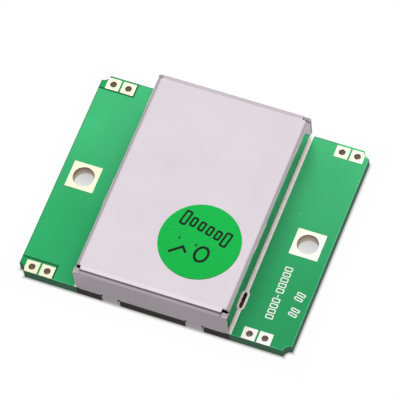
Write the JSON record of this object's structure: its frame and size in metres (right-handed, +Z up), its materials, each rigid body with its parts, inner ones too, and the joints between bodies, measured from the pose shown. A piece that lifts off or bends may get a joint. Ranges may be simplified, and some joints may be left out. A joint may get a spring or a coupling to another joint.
{
  "type": "microwave radar sensor module",
  "caption": "Flat circuit board with a folded metal shield can over its middle, mounting holes at the sides, pin holes at the corners and patch antennas beneath; senses motion by microwave.",
  "frame": {"origin": "centre of the board's underside, the face that it lies on", "axes": "+Z up out of the board towards the shield can, +X along the board's long side, +Y along its short side, away from the viewer of the picture"},
  "size_m": [0.045, 0.0372, 0.0081],
  "materials": {
    "board_laminate": "glossy green coat over glass laminate",
    "tinplate": "bright tin plate, softly reflecting",
    "sticker_paper": "satin green paper label",
    "land_plating": "pale plated copper",
    "antenna_copper": "pale plated copper",
    "line_copper": "pale plated copper",
    "feed_copper": "plated copper",
    "solder": "bright solder",
    "resonator_ceramic": "matt sintered ceramic",
    "spacer_ceramic": "matt ceramic",
    "moulding_compound": "matt black moulding",
    "tinned_lead": "tinned metal",
    "capacitor_ceramic": "matt ceramic",
    "resistor_ceramic": "coated ceramic"
  },
  "bodies": {
    "root": {"bias_resistor": "resistor_ceramic", "chip_end_caps": "tinned_lead", "chip_lands": "line_copper", "detector_lands": "line_copper", "gate_line": "line_copper", "ground_rim": "land_plating", "inspection_sticker": "sticker_paper", "mixer_diode_body": "moulding_compound", "mixer_diode_leads": "tinned_lead", "mixer_line": "line_copper", "mount_land_left": "land_plating", "mount_land_right": "land_plating", "output_capacitor": "capacitor_ceramic", "output_line": "line_copper", "pin_land_left_back_inner": "land_plating", "pin_land_left_back_outer": "land_plating", "pin_land_left_front_inner": "land_plating", "pin_land_left_front_outer": "land_plating", "pin_land_right_back_inner": "land_plating", "pin_land_right_back_outer": "land_plating", "pin_land_right_front_inner": "land_plating", "pin_land_right_front_outer": "land_plating", "printed_circuit_board": "board_laminate", "receive_antenna": "antenna_copper", "receive_feed_pin": "feed_copper", "resonator_puck": "resonator_ceramic", "resonator_spacer": "spacer_ceramic", "shield_can": "tinplate", "solder_back_left": "solder", "solder_back_right": "solder", "solder_front_left": "solder", "solder_front_right": "solder", "solder_slot_left": "solder", "solder_slot_right": "solder", "source_lands": "line_copper", "supply_capacitor": "capacitor_ceramic", "transistor_body": "moulding_compound", "transistor_leads": "tinned_lead", "transmit_antenna": "antenna_copper", "transmit_feed_pin": "feed_copper"}
  },
  "joints": []
}
